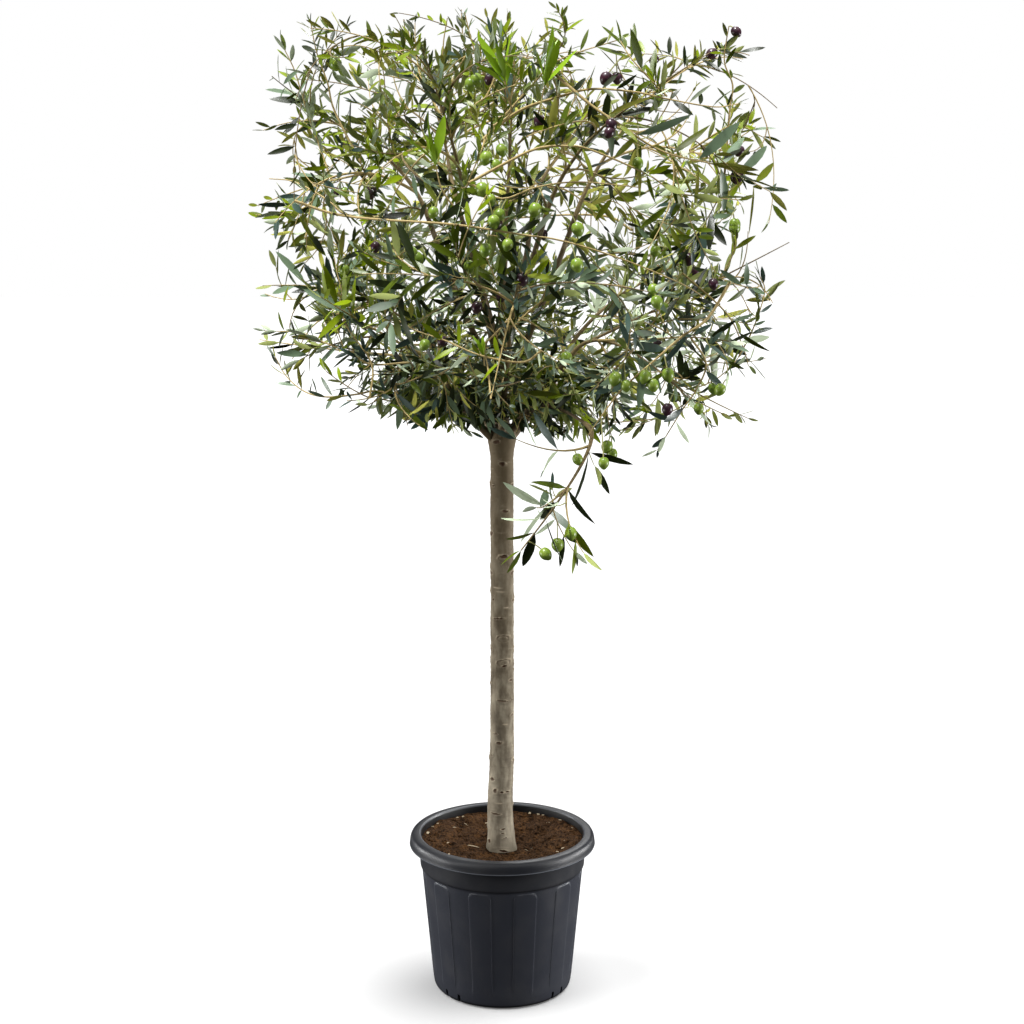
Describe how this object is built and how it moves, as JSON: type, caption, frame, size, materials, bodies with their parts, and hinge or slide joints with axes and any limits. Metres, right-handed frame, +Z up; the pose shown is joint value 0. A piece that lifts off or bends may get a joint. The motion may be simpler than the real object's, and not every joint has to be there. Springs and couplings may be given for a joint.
{
  "type": "potted olive tree",
  "caption": "Olive standard with a clear grey stem and a full, square-topped evergreen head of narrow leaves, standing in a round plastic nursery pot of soil.",
  "frame": {"origin": "centre of the pot's flat underside, on the pot's axis", "axes": "+Z up along the pot's axis and the trunk, -Y towards the side seen first, +X to the right of that side"},
  "size_m": [0.9224, 0.9006, 1.7539],
  "materials": {
    "pot_plastic": "satin",
    "soil": "matte",
    "bark": "matte",
    "foliage": "satin"
  },
  "bodies": {
    "root": {"bough_hanging": "bark", "bough_high_back_left": "bark", "bough_high_back_right": "bark", "bough_high_front_left": "bark", "bough_high_front_right": "bark", "bough_high_left": "bark", "bough_high_right": "bark", "bough_leader": "bark", "bough_low_back": "bark", "bough_low_back_left": "bark", "bough_low_back_right": "bark", "bough_low_front": "bark", "bough_low_front_left": "bark", "bough_low_front_right": "bark", "foliage_hanging": "foliage", "foliage_high_back_left": "foliage", "foliage_high_back_right": "foliage", "foliage_high_front_left": "foliage", "foliage_high_front_right": "foliage", "foliage_high_left": "foliage", "foliage_high_right": "foliage", "foliage_low_back": "foliage", "foliage_low_back_left": "foliage", "foliage_low_back_right": "foliage", "foliage_low_front": "foliage", "foliage_low_front_left": "foliage", "foliage_low_front_right": "foliage", "foliage_top": "foliage", "pot": "pot_plastic", "soil": "soil", "trunk": "bark"}
  },
  "joints": []
}
